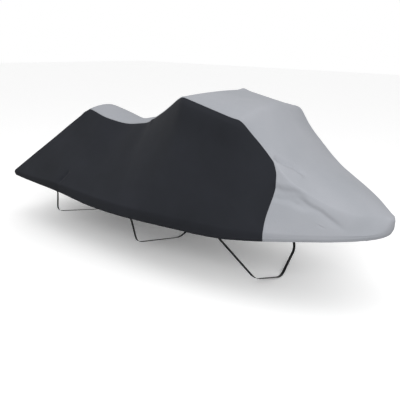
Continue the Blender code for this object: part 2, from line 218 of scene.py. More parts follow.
# The cloth is laid out as one fine grid, a row for each station and a column for each line from
# stern to bow. Lines at set distances from an edge carry the seams, the rows of sewing and the turn
# at the gunwale.
FROM_SEAM = (0.0, 0.0025, 0.006, 0.0095, 0.012, 0.016)
SEAM_SEWN_AT = (1, 3)  # lines that a seam is sewn along
FROM_GUNWALE = (0.0, 0.003, 0.007, 0.013)
SHORT_SIDE = 0.12  # where a side's slope is shorter than this, its fixed lines close up
SIDE_LINES = 64
ROOF_LINES = 76
ROWS_FROM = 0.022
ROWS_AFT, ROWS_OF_HOOD, ROWS_OF_BOW = 260, 32, 26
ABOVE_HEM = (0.10, 0.28, 0.50, 0.75, 1.00)  # steps down to the hem, as shares of that distance
HEM_HEIGHT = 0.026
UP_FROM_EDGE = (0.0245, 0.0205, 0.016, 0.010, 0.005, 0.002, 0.0)  # steps of the hem
HEM_SEWN_AT = (1, 4)  # steps that the hem is sewn along
HEM_FOLD = 0.0008  # how far the double hem stands proud
SKIRT_SLACK = 0.0012
SKIRT_PROFILE = (
    # share of the skirt's height, how far it is drawn in as a share of that height, rounding
    (0.00, 0.00, 0.00),
    (0.35, 0.02, 0.30),
    (1.00, 0.28, 0.00),
)


def even(start, end, count):
    """Steps from start up to but not including end."""
    return [start + (end - start) * k / count for k in range(count)]


def side_lines():
    """Lines of a side, gunwale to shoulder seam: (share of the way down, metres added)."""
    low = [(1.0, -gap) for gap in FROM_GUNWALE]
    high = [(0.0, gap) for gap in reversed(FROM_SEAM)]
    between = []
    for share in even(1.0, 0.0, SIDE_LINES)[1:]:
        between.append((share, FROM_SEAM[-1] * (1 - share) - FROM_GUNWALE[-1] * share))
    return low + between + high


def roof_lines():
    """Lines of the roof, starboard to port: (share of the half width, metres added)."""
    starboard = [(-1.0, gap) for gap in FROM_SEAM[1:]]
    between = [(share, -FROM_SEAM[-1] * share) for share in even(-1.0, 1.0, ROOF_LINES)[1:]]
    port = [(1.0, -gap) for gap in reversed(FROM_SEAM[1:])]
    return starboard + between + port


def row_stations():
    """Station of every row, and how many rows lie aft of the hood seam."""
    aft = list(FROM_GUNWALE) + even(ROWS_FROM, SEAM_STATION - FROM_SEAM[-1], ROWS_AFT)
    aft += [SEAM_STATION - gap for gap in reversed(FROM_SEAM[1:])]
    ahead = [SEAM_STATION + gap for gap in FROM_SEAM[:-1]]
    ahead += even(SEAM_STATION + FROM_SEAM[-1], BOW_ROWS_FROM, ROWS_OF_HOOD)
    ahead += even(BOW_ROWS_FROM, LAST_ROW, ROWS_OF_BOW) + [LAST_ROW]
    return np.array(aft + ahead), len(aft)


ROWS, SEAM_ROW = row_stations()
SIDE = side_lines()
SHOULDER = len(SIDE) - 1  # column of the starboard shoulder seam
PORT_SHOULDER = SHOULDER + len(roof_lines()) + 1
COLUMNS = PORT_SHOULDER + len(SIDE)


def across_of(station, column):
    """How far from the middle a line is at these stations, and its share of the way down."""
    half_width = np.minimum(roof_at(station)[1], half_beam(station) - NARROWEST_SIDE)
    shoulder = roof_at(station)[0]
    width = half_beam(station) - half_width
    slope = np.hypot(width, shoulder - gunwale_height(station))
    tight = np.minimum(1, slope / SHORT_SIDE)
    if SHOULDER < column < PORT_SHOULDER:
        share, added = roof_lines()[column - SHOULDER - 1]
        return share * half_width + added, np.zeros_like(station)
    share, added = SIDE[column] if column <= SHOULDER else SIDE[COLUMNS - 1 - column]
    share = share + added * tight / slope
    across = half_width + width * share
    return (-across if column <= SHOULDER else across), share


def lay_out():
    """The stretched cloth: an array of rows by columns by x, y, z."""
    cloth = np.zeros((len(ROWS), COLUMNS, 3))
    bend = np.clip(1 - np.abs(ROWS - SEAM_STATION) / SEAM_REACH, 0, 1)
    turn = np.clip((ROWS - BOW_ROWS_FROM) / (LAST_ROW - BOW_ROWS_FROM), 0, 1)
    for column in range(COLUMNS):
        share = across_of(ROWS, column)[1]
        station = ROWS + rounded_line(SEAM_CURVE, 1, share) * bend
        across = across_of(station, column)[0]
        station = station + (bow_station(across) - station) * turn
        cloth[:, column, 0] = station
        cloth[:, column, 1] = across
        cloth[:, column, 2] = stretched_height(station, across)
    return cloth


CLOTH = lay_out()


def unit(vectors):
    return vectors / np.linalg.norm(vectors, axis=-1, keepdims=True)


def runs(path):
    """Distance along a path from its start to each of its points."""
    return np.insert(np.cumsum(np.linalg.norm(np.diff(path, axis=0), axis=1)), 0, 0)


def values_at(at, run, values):
    """Carries values known at the points of a path to other distances along it."""
    return np.column_stack([np.interp(at, run, column) for column in values.T])


def facing(cloth):
    """Outward direction at every point of the laid out cloth."""
    along = np.gradient(cloth, axis=0)
    sideways = np.gradient(cloth, axis=1)
    normal = np.cross(along, sideways)
    return normal / np.maximum(np.linalg.norm(normal, axis=2, keepdims=True), 1e-12)


FACING = facing(CLOTH)

# Slack in the cloth. The broad folds are those that the frame's own panels have. Each
# crease runs through a few points, as a soft trough with a low ridge beside it.
BROAD_FOLDS = (
    # start station, start across, end station, end across, depth, half width
    (2.461, -0.325, 2.590, -0.227, 0.004, 0.030),
    (2.485, -0.377, 2.645, -0.342, 0.006, 0.035),
    (2.645, -0.342, 2.852, -0.263, 0.005, 0.032),
    (2.500, 0.372, 2.800, 0.287, 0.005, 0.035),
    (0.708, -0.505, 0.660, -0.562, 0.005, 0.030),
    (0.800, 0.480, 0.700, 0.555, 0.005, 0.033),
)
CREASES = (
    # points (station, across), depth, half width
    (((2.585, -0.216), (2.526, -0.244), (2.490, -0.284), (2.435, -0.332)), 0.0170, 0.017),
    (((2.450, -0.390), (2.518, -0.378), (2.610, -0.356), (2.680, -0.335)), 0.0065, 0.019),
    (((2.450, -0.382), (2.523, -0.371), (2.573, -0.359), (2.656, -0.336)), 0.0070, 0.022),
    (((2.560, -0.366), (2.680, -0.332), (2.768, -0.302), (2.856, -0.263)), 0.0048, 0.013),
    (((2.740, -0.320), (2.766, -0.310)), 0.0020, 0.005),
    (((0.712, -0.493), (0.696, -0.528), (0.664, -0.562)), 0.0100, 0.012),
    (((2.203, -0.465), (2.276, -0.460)), 0.0015, 0.014),
    (((2.455, 0.345), (2.540, 0.290), (2.640, 0.240)), 0.0045, 0.008),
    (((2.475, 0.395), (2.600, 0.365), (2.760, 0.302)), 0.0060, 0.011),
    (((0.795, 0.485), (0.740, 0.525), (0.700, 0.558)), 0.0050, 0.009),
    (((0.120, -0.300), (0.230, -0.240)), 0.0020, 0.012),
    (((0.090, 0.330), (0.180, 0.290)), 0.0020, 0.012),
)
PUCKERS = (
    # station, across, height, reach: where the starboard seam stands up a little
    (1.352, -0.202, 0.006, 0.025),
    (0.549, -0.170, 0.005, 0.025),
)
CREASE_STEPS = 20
RIDGE_AT = 1.9  # in half widths of the crease
RIDGE_HEIGHT = 0.45  # as a share of its depth
CREASE_REACH = 5  # in half widths
CREASE_FADE = 0.6  # the lower, the more suddenly a crease starts and ends
CREASE_WAVER = 0.25
FAR_AWAY = 9.0


def trough(distance, half_width):
    """Cross-section of a crease: a dip with a low ridge on one side."""
    dip = np.exp(-((distance / half_width) ** 2))
    ridge = np.exp(-(((distance - RIDGE_AT * half_width) / half_width) ** 2))
    return dip - RIDGE_HEIGHT * ridge


def crease_line(points):
    """The line of a crease over the stretched cloth, in steps short enough to follow its form."""
    knots = np.array(points)
    corner_at = runs(knots)
    at = np.linspace(0, corner_at[-1], CREASE_STEPS)
    station, across = values_at(at, corner_at, knots).T
    return np.column_stack([station, across, stretched_height(station, across)])


def beside(cloth, knots):
    """Every point's distance from a line, less than 0 on its one side, and the share passed."""
    total = np.linalg.norm(np.diff(knots, axis=0), axis=1).sum()
    nearest = np.full(cloth.shape[:-1], FAR_AWAY)
    signed = np.full(cloth.shape[:-1], FAR_AWAY)
    travelled = np.zeros(cloth.shape[:-1])
    run_so_far = 0.0
    for start, end in zip(knots, knots[1:]):
        run = end - start
        reach = np.linalg.norm(run)
        share = np.clip((cloth - start) @ run / reach**2, 0, 1)
        away = cloth - start - share[..., None] * run
        distance = np.linalg.norm(away, axis=-1)
        side = np.sign(away[..., 1] * run[0] - away[..., 0] * run[1])
        closer = distance < nearest
        nearest = np.where(closer, distance, nearest)
        signed = np.where(closer, distance * np.where(side == 0, 1, side), signed)
        travelled = np.where(closer, (run_so_far + share * reach) / total, travelled)
        run_so_far += reach
    return signed, travelled


def creases_at(cloth):
    """How far the folds, puckers and creases draw the cloth in, for every point."""
    depth = np.zeros(cloth.shape[:-1])
    for start_x, start_y, end_x, end_y, deepest, half_width in BROAD_FOLDS:
        ends = np.array([[start_x, start_y], [end_x, end_y]])
        heights = stretched_height(ends[:, 0], ends[:, 1])
        start, end = np.column_stack([ends, heights])
        run = end - start
        share = np.clip((cloth - start) @ run / (run @ run), 0, 1)
        distance = np.linalg.norm(cloth - start - share[..., None] * run, axis=-1)
        depth += deepest * np.exp(-((distance / half_width) ** 2))
    for station, across, highest, reach in PUCKERS:
        middle = np.array([station, across, stretched_height(station, across)])
        depth -= highest * np.exp(-((np.linalg.norm(cloth - middle, axis=-1) / reach) ** 2))
    for points, deepest, half_width in CREASES:
        signed, travelled = beside(cloth, crease_line(points))
        fade = np.sin(math.pi * np.clip(travelled, 0, 1)) ** CREASE_FADE
        wavering = 1 + CREASE_WAVER * np.sin(travelled * 9 + 40 * half_width)
        dip = deepest * fade * wavering * trough(signed, half_width)
        depth += dip * (np.abs(signed) < CREASE_REACH * half_width)
    return depth


UNEVENNESS = (0.0012, 0.0006, 0.00025)  # height of the slow, the middling and the fine waves


def unevenness(cloth):
    """Slow undulation of stretched cloth, from waves of three lengths."""
    x, y, z = cloth[..., 0], cloth[..., 1], cloth[..., 2]
    slow = np.sin(7.3 * x + 3.1 * z) * np.sin(9.1 * z + 2.3 * y + 1.1)
    middling = np.sin(17.0 * x - 8.0 * z + 0.7) * np.sin(13.0 * z + 5.0 * x + 2.0)
    fine = np.sin(41.0 * x + 23.0 * z + 4.0 * y) * np.sin(29.0 * z - 19.0 * x + 3.0)
    return UNEVENNESS[0] * slow + UNEVENNESS[1] * middling + UNEVENNESS[2] * fine


SEAM_BAND = 0.0009  # thickness of the folds of cloth in a seam
BESIDE_SEAM = 0.05  # distances from a seam are followed this far
GUNWALE_EASE = 0.0022  # how far the turn at the gunwale is rounded off
LAST_ROW_AT, LAST_COLUMN = len(ROWS) - 1, COLUMNS - 1
BELOW = len(ABOVE_HEM) + len(UP_FROM_EDGE)


def run_along(points, axis, start):
    """Distance along the cloth from one row or column of the grid to every other."""
    steps = np.linalg.norm(np.diff(points, axis=axis), axis=2)
    run = np.cumsum(np.insert(steps, 0, 0, axis=axis), axis=axis)
    return run - np.take(run, [start], axis=axis)


def seam_distance():
    """Distance along the cloth from the nearest shoulder or hood seam."""
    distance = np.full(CLOTH.shape[:2], BESIDE_SEAM)
    for column in (SHOULDER, PORT_SHOULDER):
        away = np.abs(run_along(CLOTH, 1, column))
        distance[: SEAM_ROW + 1] = np.minimum(distance, away)[: SEAM_ROW + 1]
    sides = np.ones(COLUMNS, bool)
    sides[SHOULDER + 1 : PORT_SHOULDER] = False
    away = np.abs(run_along(CLOTH, 0, SEAM_ROW))
    distance[:, sides] = np.minimum(distance, away)[:, sides]
    return distance


FROM_SEAMS = seam_distance()


def ease_at_gunwale():
    """How far each point near the gunwale draws in, so that the cloth turns softly there."""
    away = np.minimum(np.abs(run_along(CLOTH, 1, 0)), np.abs(run_along(CLOTH, 1, LAST_COLUMN)))
    away = np.minimum(away, np.abs(run_along(CLOTH, 0, 0)))
    away = np.minimum(away, np.abs(run_along(CLOTH, 0, LAST_ROW_AT)))
    return GUNWALE_EASE * np.clip(1 - away / FROM_GUNWALE[-1], 0, 1) ** 2


SEAM_ROLL = (
    # station, how far the cloth stands out just below the shoulder seam, rounding
    (0.00, 0.000, 0.00),
    (1.70, 0.000, 0.04),
    (1.82, 0.013, 0.05),  # grips
    (2.18, 0.013, 0.05),  # mirrors
    (2.32, 0.000, 0.05),
    (3.08, 0.000, 0.00),
)
ROLL_BELOW_SEAM = 0.032
ROLL_FADES_BY = 0.20


def roll_below_seam():
    """How far the grips and the mirrors press the cloth out along the shoulder seams."""
    starboard, port = (np.abs(run_along(CLOTH, 1, seam)) for seam in (SHOULDER, PORT_SHOULDER))
    below = np.minimum(starboard, port)
    rise = np.clip(below / ROLL_BELOW_SEAM, 0, 1)
    past = np.clip((below - ROLL_BELOW_SEAM) / (ROLL_FADES_BY - ROLL_BELOW_SEAM), 0, 1)
    roll = rise * np.cos(math.pi / 2 * past) ** 2 * rounded_line(SEAM_ROLL, 1, CLOTH[..., 0])
    roll[:, SHOULDER : PORT_SHOULDER + 1] = 0
    return roll


RAISED = unevenness(CLOTH) + roll_below_seam() - creases_at(CLOTH) - ease_at_gunwale()


def shaped(band_height):
    """The cloth with its slack, the fold along its seams and the soft turn at the gunwale."""
    band = np.clip((FROM_SEAM[-1] - FROM_SEAMS) / (FROM_SEAM[-1] - FROM_SEAM[-2]), 0, 1)
    raised = RAISED + band_height * band * band * (3 - 2 * band)
    return CLOTH + FACING * raised[..., None]


CORNER_POINTS = 3  # points on each side that a direction is averaged over
RIM = (
    [(i, 0) for i in range(LAST_ROW_AT)]
    + [(LAST_ROW_AT, j) for j in range(LAST_COLUMN)]
    + [(i, LAST_COLUMN) for i in range(LAST_ROW_AT, 0, -1)]
    + [(0, j) for j in range(LAST_COLUMN, 0, -1)]
)
RIM_PLACE = {place: k for k, place in enumerate(RIM)}
STARBOARD_RIM = [RIM_PLACE[i, 0] for i in range(len(ROWS))]
PORT_RIM = [RIM_PLACE[i, LAST_COLUMN] for i in range(len(ROWS))]
STERN_RIM = [RIM_PLACE[0, j] for j in range(COLUMNS)]
BOW_RIM = [RIM_PLACE[LAST_ROW_AT, j] for j in range(COLUMNS)]


def rim_outward(edge):
    """Level directions square to the edge, turned gradually round the corners of the stern."""
    chord = np.roll(edge, -1, axis=0) - np.roll(edge, 1, axis=0)
    outward = unit(np.column_stack([chord[:, 1], -chord[:, 0], np.zeros(len(edge))]))
    for _ in range(CORNER_POINTS):
        outward = np.roll(outward, 1, axis=0) / 4 + outward / 2 + np.roll(outward, -1, axis=0) / 4
    return unit(outward)


def skirt_drops(edge):
    """For each step of the skirt, how far below each point of the edge it lies."""
    depth = skirt_depth(edge[:, 0])
    plain = [share * (depth - HEM_HEIGHT) for share in ABOVE_HEM]
    return plain + [depth - up for up in UP_FROM_EDGE]


def hung_skirt(edge):
    """The skirt, step by step: it falls straight, then draws in, and its hem is double."""
    outward = rim_outward(edge)
    run = np.cumsum(np.linalg.norm(edge - np.roll(edge, 1, axis=0), axis=1))
    slack = np.sin(run * 11.3) * np.sin(run * 4.7 + 1) + 0.5 * np.sin(run * 31 + 2)
    drops = skirt_drops(edge)
    steps = []
    for step, drop in enumerate(drops):
        share = drop / drops[-1]
        offset = SKIRT_SLACK * slack * share**2 - drops[-1] * rounded_line(SKIRT_PROFILE, 1, share)
        offset += HEM_FOLD if step >= len(ABOVE_HEM) else 0.0
        steps.append(edge + outward * offset[:, None] - np.outer(drop, (0, 0, 1)))
    return np.array(steps)


def with_skirt(top, below):
    """One grid of the top and, as further rows and columns round it, the skirt."""
    whole = np.zeros((len(ROWS) + 2 * BELOW, COLUMNS + 2 * BELOW, 3))
    whole[BELOW:-BELOW, BELOW:-BELOW] = top
    whole[BELOW:-BELOW, :BELOW] = below[::-1][:, STARBOARD_RIM].transpose(1, 0, 2)
    whole[BELOW:-BELOW, -BELOW:] = below[:, PORT_RIM].transpose(1, 0, 2)
    whole[:BELOW, BELOW:-BELOW] = below[::-1][:, STERN_RIM]
    whole[-BELOW:, BELOW:-BELOW] = below[:, BOW_RIM]
    return whole


def whole_cover(band_height):
    """Every point of the cover, in the frame: its origin is under the roof at the handlebars."""
    top = shaped(band_height)
    edge = np.array([top[place] for place in RIM])
    roof_underside = float(stretched_height(HANDLEBARS, 0.0)) - CAD_CLOTH
    return with_skirt(top, hung_skirt(edge)) - np.array([HANDLEBARS, 0, roof_underside])


def cut_panel(name, points, wanted):
    """Cuts a panel from the cover's points; wanted(row, column) says which cells it has."""
    bpy.ops.object.select_all(action="DESELECT")
    rows, columns = points.shape[0] - 1, points.shape[1] - 1
    bpy.ops.mesh.primitive_grid_add(x_subdivisions=rows, y_subdivisions=columns, size=1)
    panel = bpy.context.object
    panel.name = panel.data.name = name
    mesh = panel.data

    flat = np.zeros(len(mesh.vertices) * 3)
    mesh.vertices.foreach_get("co", flat)
    row = np.rint((flat[0::3] + 0.5) * rows).astype(int)
    column = np.rint((flat[1::3] + 0.5) * columns).astype(int)
    centres = np.zeros(len(mesh.polygons) * 3)
    mesh.polygons.foreach_get("center", centres)
    cell_row = np.floor((centres[0::3] + 0.5) * rows).astype(int) - BELOW
    cell_column = np.floor((centres[1::3] + 0.5) * columns).astype(int) - BELOW
    past_rows = (cell_row < 0) | (cell_row >= LAST_ROW_AT)
    past_columns = (cell_column < 0) | (cell_column >= LAST_COLUMN)
    kept = wanted(np.clip(cell_row, 0, LAST_ROW_AT - 1), np.clip(cell_column, 0, LAST_COLUMN - 1))
    kept &= ~(past_rows & past_columns)

    mesh.vertices.foreach_set("co", points[row, column].ravel())
    along = run_along(points, 0, BELOW)[row, column]
    sideways = run_along(points, 1, points.shape[1] // 2)[row, column]
    loop_vertex = np.zeros(len(mesh.loops), np.int32)
    mesh.loops.foreach_get("vertex_index", loop_vertex)
    laid_flat = np.column_stack([along, sideways])[loop_vertex]
    mesh.uv_layers[0].name = "cloth"
    mesh.uv_layers[0].uv.foreach_set("vector", laid_flat.astype(np.float32).ravel())
    sewing = mesh.attributes.new("from_sewing", "FLOAT", "POINT")
    sewing.data.foreach_set("value", FROM_SEWING[row, column].astype(np.float32))

    bpy.ops.object.mode_set(mode="EDIT")
    bpy.ops.mesh.select_mode(type="FACE")
    bpy.ops.mesh.select_all(action="DESELECT")
    bpy.ops.object.mode_set(mode="OBJECT")
    mesh.polygons.foreach_set("select", ~kept)
    bpy.ops.object.mode_set(mode="EDIT")
    bpy.ops.mesh.delete(type="FACE")
    bpy.ops.mesh.select_all(action="SELECT")
    bpy.ops.mesh.remove_doubles(threshold=SAME_POINT)
    bpy.ops.object.mode_set(mode="OBJECT")
    return panel


def give_thickness(piece, thickness, offset=-1.0):
    """Makes a sheet a closed wall, its outer face where it was."""
    wall = piece.modifiers.new("wall", "SOLIDIFY")
    wall.thickness = thickness
    wall.offset = offset
    bpy.ops.object.modifier_apply(modifier=wall.name)
    bpy.ops.object.shade_smooth_by_angle(angle=SMOOTH_UP_TO)


def distance_from_sewing():
    """Distance from the nearest seam, or row of sewing in the hem, over the whole grid."""
    edge = np.array([CLOTH[place] for place in RIM])
    up = skirt_depth(edge[:, 0]) - np.array(skirt_drops(edge))
    nearest = np.min([np.abs(up - UP_FROM_EDGE[step]) for step in HEM_SEWN_AT], axis=0)
    hem = np.repeat(nearest[..., None], 3, axis=2)
    seams = np.repeat(FROM_SEAMS[..., None], 3, axis=2)
    return with_skirt(seams, hem)[..., 0]


CAD_CLOTH = 0.002  # thickness of the frame's own panel, whose underside is at the origin
CANVAS_THICKNESS = 0.0015
SAME_POINT = 1e-6
SMOOTH_UP_TO = math.radians(50)
FROM_SEWING = distance_from_sewing()
GREY_COVER = whole_cover(SEAM_BAND)


def is_grey(row, column):
    return (row >= SEAM_ROW) | ((column >= SHOULDER) & (column < PORT_SHOULDER))


def linear(colour):
    """An sRGB hex colour as the linear values that a shader takes."""
    channels = [int(colour[k : k + 2], 16) / 255 for k in (1, 3, 5)]
    return (*[c / 12.92 if c <= 0.04045 else ((c + 0.055) / 1.055) ** 2.4 for c in channels], 1.0)


def new_material(name):
    material = bpy.data.materials.new(name)
    material.use_nodes = True
    return material, material.node_tree.nodes["Principled BSDF"]


def add(material, kind, settings=None, **links):
    """Adds a node, sets what settings names, and links its inputs; i0 is the first input."""
    made = material.node_tree.nodes.new(kind)
    for key, value in (settings or {}).items():
        if hasattr(made, key):
            setattr(made, key, value)
        else:
            made.inputs[key].default_value = value
    for key, source in links.items():
        socket = int(key[1:]) if key[0] == "i" and key[1:].isdigit() else key
        material.node_tree.links.new(source, made.inputs[socket])
    return made


THREAD_PITCH = 0.003
WAVE_TO_METRES = 2 * math.pi / 20  # a wave texture of scale 1 repeats every 2 pi / 20
CANVAS_GLOSS = 0.15  # a plain plastic's is 0.5
PATCHES_PER_METRE = 2.6  # weathering, in patches 0.4 m wide
GATHERS_PER_METRE = 75.0  # one every 13 mm, about two stitches
FIBRES_PER_METRE = 160.0  # finer on real cloth; drawn 6 mm wide, so that they show


def weave_of(material):
    """Warp and weft of a plain weave, as one height."""
    uv = add(material, "ShaderNodeUVMap", {"uv_map": "cloth"}).outputs["UV"]
    bands = {
        "wave_type": "BANDS",
        "wave_profile": "SIN",
        "Scale": WAVE_TO_METRES / THREAD_PITCH,
        "Distortion": 0.6,
    }
    warp = add(material, "ShaderNodeTexWave", {**bands, "bands_direction": "X"}, Vector=uv)
    weft = add(material, "ShaderNodeTexWave", {**bands, "bands_direction": "Y"}, Vector=uv)
    crossed = add(
        material,
        "ShaderNodeMath",
        {"operation": "MULTIPLY"},
        i0=warp.outputs["Fac"],
        i1=weft.outputs["Fac"],
    )
    return crossed.outputs[0]


def weathered(material, colour, faded, weave, place):
    """The cloth's colour: it drifts slowly to the faded one, and is darker between the threads."""
    drift = add(
        material,
        "ShaderNodeTexNoise",
        {"Scale": PATCHES_PER_METRE, "Detail": 3.0, "Roughness": 0.55},
        Vector=place,
    )
    shade = add(
        material,
        "ShaderNodeMapRange",
        {"From Min": 0.3, "From Max": 0.7},
        Value=drift.outputs["Fac"],
    )
    mixed = add(
        material, "ShaderNodeMix", {"data_type": "RGBA"}, Factor=shade.outputs["Result"]
    )
    mixed.inputs[6].default_value = linear(colour)  # its two colours have no names of their own
    mixed.inputs[7].default_value = linear(faded)
    threads = add(material, "ShaderNodeMapRange", {"To Min": 0.93, "To Max": 1.04}, Value=weave)
    woven = add(
        material,
        "ShaderNodeVectorMath",
        {"operation": "SCALE"},
        i0=mixed.outputs[2],
        Scale=threads.outputs["Result"],
    )
    return woven.outputs[0]


def surface_of(material, weave, place):
    """The cloth's relief: it gathers along the sewing, and its threads are a little hairy."""
    sewing = add(material, "ShaderNodeAttribute", {"attribute_name": "from_sewing"})
    beside_sewing = add(
        material,
        "ShaderNodeMapRange",
        {"From Min": 0.001, "From Max": FROM_SEAM[-1], "To Min": 1.0, "To Max": 0.0},
        Value=sewing.outputs["Fac"],
    )
    gathered = {"Scale": GATHERS_PER_METRE, "Detail": 1.0}
    gathers = add(material, "ShaderNodeTexNoise", gathered, Vector=place)
    puckers = add(
        material,
        "ShaderNodeMath",
        {"operation": "MULTIPLY"},
        i0=beside_sewing.outputs["Result"],
        i1=gathers.outputs["Fac"],
    )
    pucker_bump = add(
        material,
        "ShaderNodeBump",
        {"Strength": 0.6, "Distance": 0.0012},
        Height=puckers.outputs[0],
    )
    thread_bump = add(
        material,
        "ShaderNodeBump",
        {"Strength": 0.35, "Distance": 0.0004},
        Height=weave,
        Normal=pucker_bump.outputs["Normal"],
    )
    hairy = {"Scale": FIBRES_PER_METRE, "Detail": 2.0}
    fibres = add(material, "ShaderNodeTexNoise", hairy, Vector=place)
    fibre_bump = add(
        material,
        "ShaderNodeBump",
        {"Strength": 0.15, "Distance": 0.0003},
        Height=fibres.outputs["Fac"],
        Normal=thread_bump.outputs["Normal"],
    )
    return fibre_bump.outputs["Normal"]


def canvas(name, colour, faded, roughness, sheen):
    """Coated polyester canvas, plain woven: dull, with a faint grid of threads and a slow drift of
    shade from weathering. Its 0.5 mm threads are drawn 3 mm apart, so that they show."""
    material, shader = new_material(name)
    place = add(material, "ShaderNodeTexCoord").outputs["Object"]
    weave = weave_of(material)
    links = material.node_tree.links
    links.new(weathered(material, colour, faded, weave, place), shader.inputs["Base Color"])
    links.new(surface_of(material, weave, place), shader.inputs["Normal"])
    shader.inputs["Roughness"].default_value = roughness
    shader.inputs["Sheen Weight"].default_value = sheen
    shader.inputs["Sheen Roughness"].default_value = 0.5
    shader.inputs["Specular IOR Level"].default_value = CANVAS_GLOSS
    return material


centre = cut_panel("centre_hood_cloth", GREY_COVER, is_grey)
give_thickness(centre, CANVAS_THICKNESS)
grey_canvas = canvas("woven_polyester_canvas_light_grey", "#A1A4AA", "#A9ABB1", 0.85, 0.05)
centre.data.materials.append(grey_canvas)
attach(centre, "root")
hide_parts("centre_hood_panel")


# ---- Side panels ---------------------------------------------------------------------------------
# Black canvas of the same make, one panel on each side from the shoulder seam down to the gunwale
# and its hemmed skirt. Each ends at the front in the curved hood seam, and its edges are tucked
# under the fold of the grey panel.

SEAM_GAP = 0.0003


def tucked_under(points):
    """The points, with every seam's edge drawn back from the grey panel by the seam's gap."""
    points = points.copy()
    starboard, port, front = BELOW + SHOULDER, BELOW + PORT_SHOULDER, BELOW + SEAM_ROW
    for edge, inner in (
        ((slice(None), starboard), (slice(None), starboard - 1)),
        ((slice(None), port), (slice(None), port + 1)),
        ((front, slice(None)), (front - 1, slice(None))),
    ):
        inward = points[inner] - points[edge]
        inward /= np.maximum(np.linalg.norm(inward, axis=-1, keepdims=True), 1e-9)
        points[edge] += inward * SEAM_GAP
    return points


BLACK_COVER = tucked_under(whole_cover(0.0))
black_canvas = canvas("woven_polyester_canvas_black", "#23252A", "#292B31", 0.80, 0.03)
for name, node, wanted in (
    (
        "starboard_side_cloth",
        "starboard_side_panel",
        lambda row, column: (row < SEAM_ROW) & (column < SHOULDER),
    ),
    (
        "port_side_cloth",
        "port_side_panel",
        lambda row, column: (row < SEAM_ROW) & (column >= PORT_SHOULDER),
    ),
):
    side_panel = cut_panel(name, BLACK_COVER, wanted)
    give_thickness(side_panel, CANVAS_THICKNESS)
    side_panel.data.materials.append(black_canvas)
    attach(side_panel, "root")
    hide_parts(node)


# ---- Sewing --------------------------------------------------------------------------------------
# Lock stitch in bonded polyester thread: two rows through each seam's fold and two through the hem,
# grey on the grey cloth and black on the black. Real stitches are 3.5 mm long in 0.4 mm thread;
# these are drawn a little larger.

STITCH_LENGTH = 0.0046
STITCH_PITCH = 0.0062
THREAD_WIDTH = 0.0010
TWISTS_PER_METRE = 900.0  # one is 1.1 mm long


def model_stitch():
    """One stitch, as points and faces: a bit of thread that dips into the cloth at both ends."""
    bpy.ops.object.select_all(action="DESELECT")
    bpy.ops.mesh.primitive_uv_sphere_add(
        segments=6, ring_count=3, radius=0.5, rotation=(0, math.pi / 2, 0)
    )
    one = bpy.context.object
    bpy.ops.object.transform_apply(location=True, rotation=True, scale=True)
    points = np.array([vertex.co[:] for vertex in one.data.vertices])
    faces = [list(face.vertices) for face in one.data.polygons]
    points *= np.array([STITCH_LENGTH, THREAD_WIDTH, THREAD_WIDTH])
    bpy.data.meshes.remove(one.data)
    return points, faces


STITCH_POINTS, STITCH_FACES = model_stitch()


def stitches_along(path, outward):
    """Places, directions and outward directions of the stitches of one row."""
    run = runs(path)
    at = np.arange(STITCH_PITCH / 2, run[-1], STITCH_PITCH)
    before = values_at(at - STITCH_LENGTH / 2, run, path)
    after = values_at(at + STITCH_LENGTH / 2, run, path)
    return values_at(at, run, path), after - before, values_at(at, run, outward)


def sew(name, rows, material):
    """Joins the stitches of several rows into one piece."""
    points, faces = [], []
    for path, outward in rows:
        for middle, along, up in zip(*stitches_along(path, outward)):
            x = unit(along)
            z = unit(up - x * (up @ x))
            turned = STITCH_POINTS @ np.array([x, np.cross(z, x), z]) + middle
            faces += [[k + len(points) * len(STITCH_POINTS) for k in face] for face in STITCH_FACES]
            points.append(turned)
    mesh = bpy.data.meshes.new(name)
    mesh.from_pydata(np.concatenate(points).tolist(), [], faces)
    mesh.shade_smooth()
    sewing = bpy.data.objects.new(name, mesh)
    bpy.context.scene.collection.objects.link(sewing)
    mesh.materials.append(material)
    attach(sewing, "root")
    return sewing


def thread(name, colour):
    """Bonded polyester thread: smoother than the cloth, with a slight gloss along its twist."""
    material, shader = new_material(name)
    place = add(material, "ShaderNodeTexCoord")
    twist = add(
        material,
        "ShaderNodeTexNoise",
        {"Scale": TWISTS_PER_METRE},
        Vector=place.outputs["Object"],
    )
    shade = add(
        material, "ShaderNodeMapRange", {"To Min": 0.85, "To Max": 1.1}, Value=twist.outputs["Fac"]
    )
    tinted = add(
        material, "ShaderNodeVectorMath", {"operation": "SCALE"}, Scale=shade.outputs["Result"]
    )
    tinted.inputs[0].default_value = linear(colour)[:3]
    material.node_tree.links.new(tinted.outputs[0], shader.inputs["Base Color"])
    shader.inputs["Roughness"].default_value = 0.55
    return material


GREY_FACING = facing(GREY_COVER)
SHORTEST_ROW = 3  # steps of the grid
COVER_MIDDLE = (cad_low + cad_high) / 2


def seam_rows():
    """Both rows through the fold of every seam, on the grey cloth."""
    rows = []
    for line in SEAM_SEWN_AT:
        for column in (BELOW + SHOULDER + line, BELOW + PORT_SHOULDER - line):
            stop = BELOW + SEAM_ROW + 1
            rows.append((GREY_COVER[:stop, column], GREY_FACING[:stop, column]))
        row = BELOW + SEAM_ROW + line
        for columns in (slice(0, BELOW + SHOULDER + 1), slice(BELOW + PORT_SHOULDER, None)):
            rows.append((GREY_COVER[row, columns], GREY_FACING[row, columns]))
    return rows


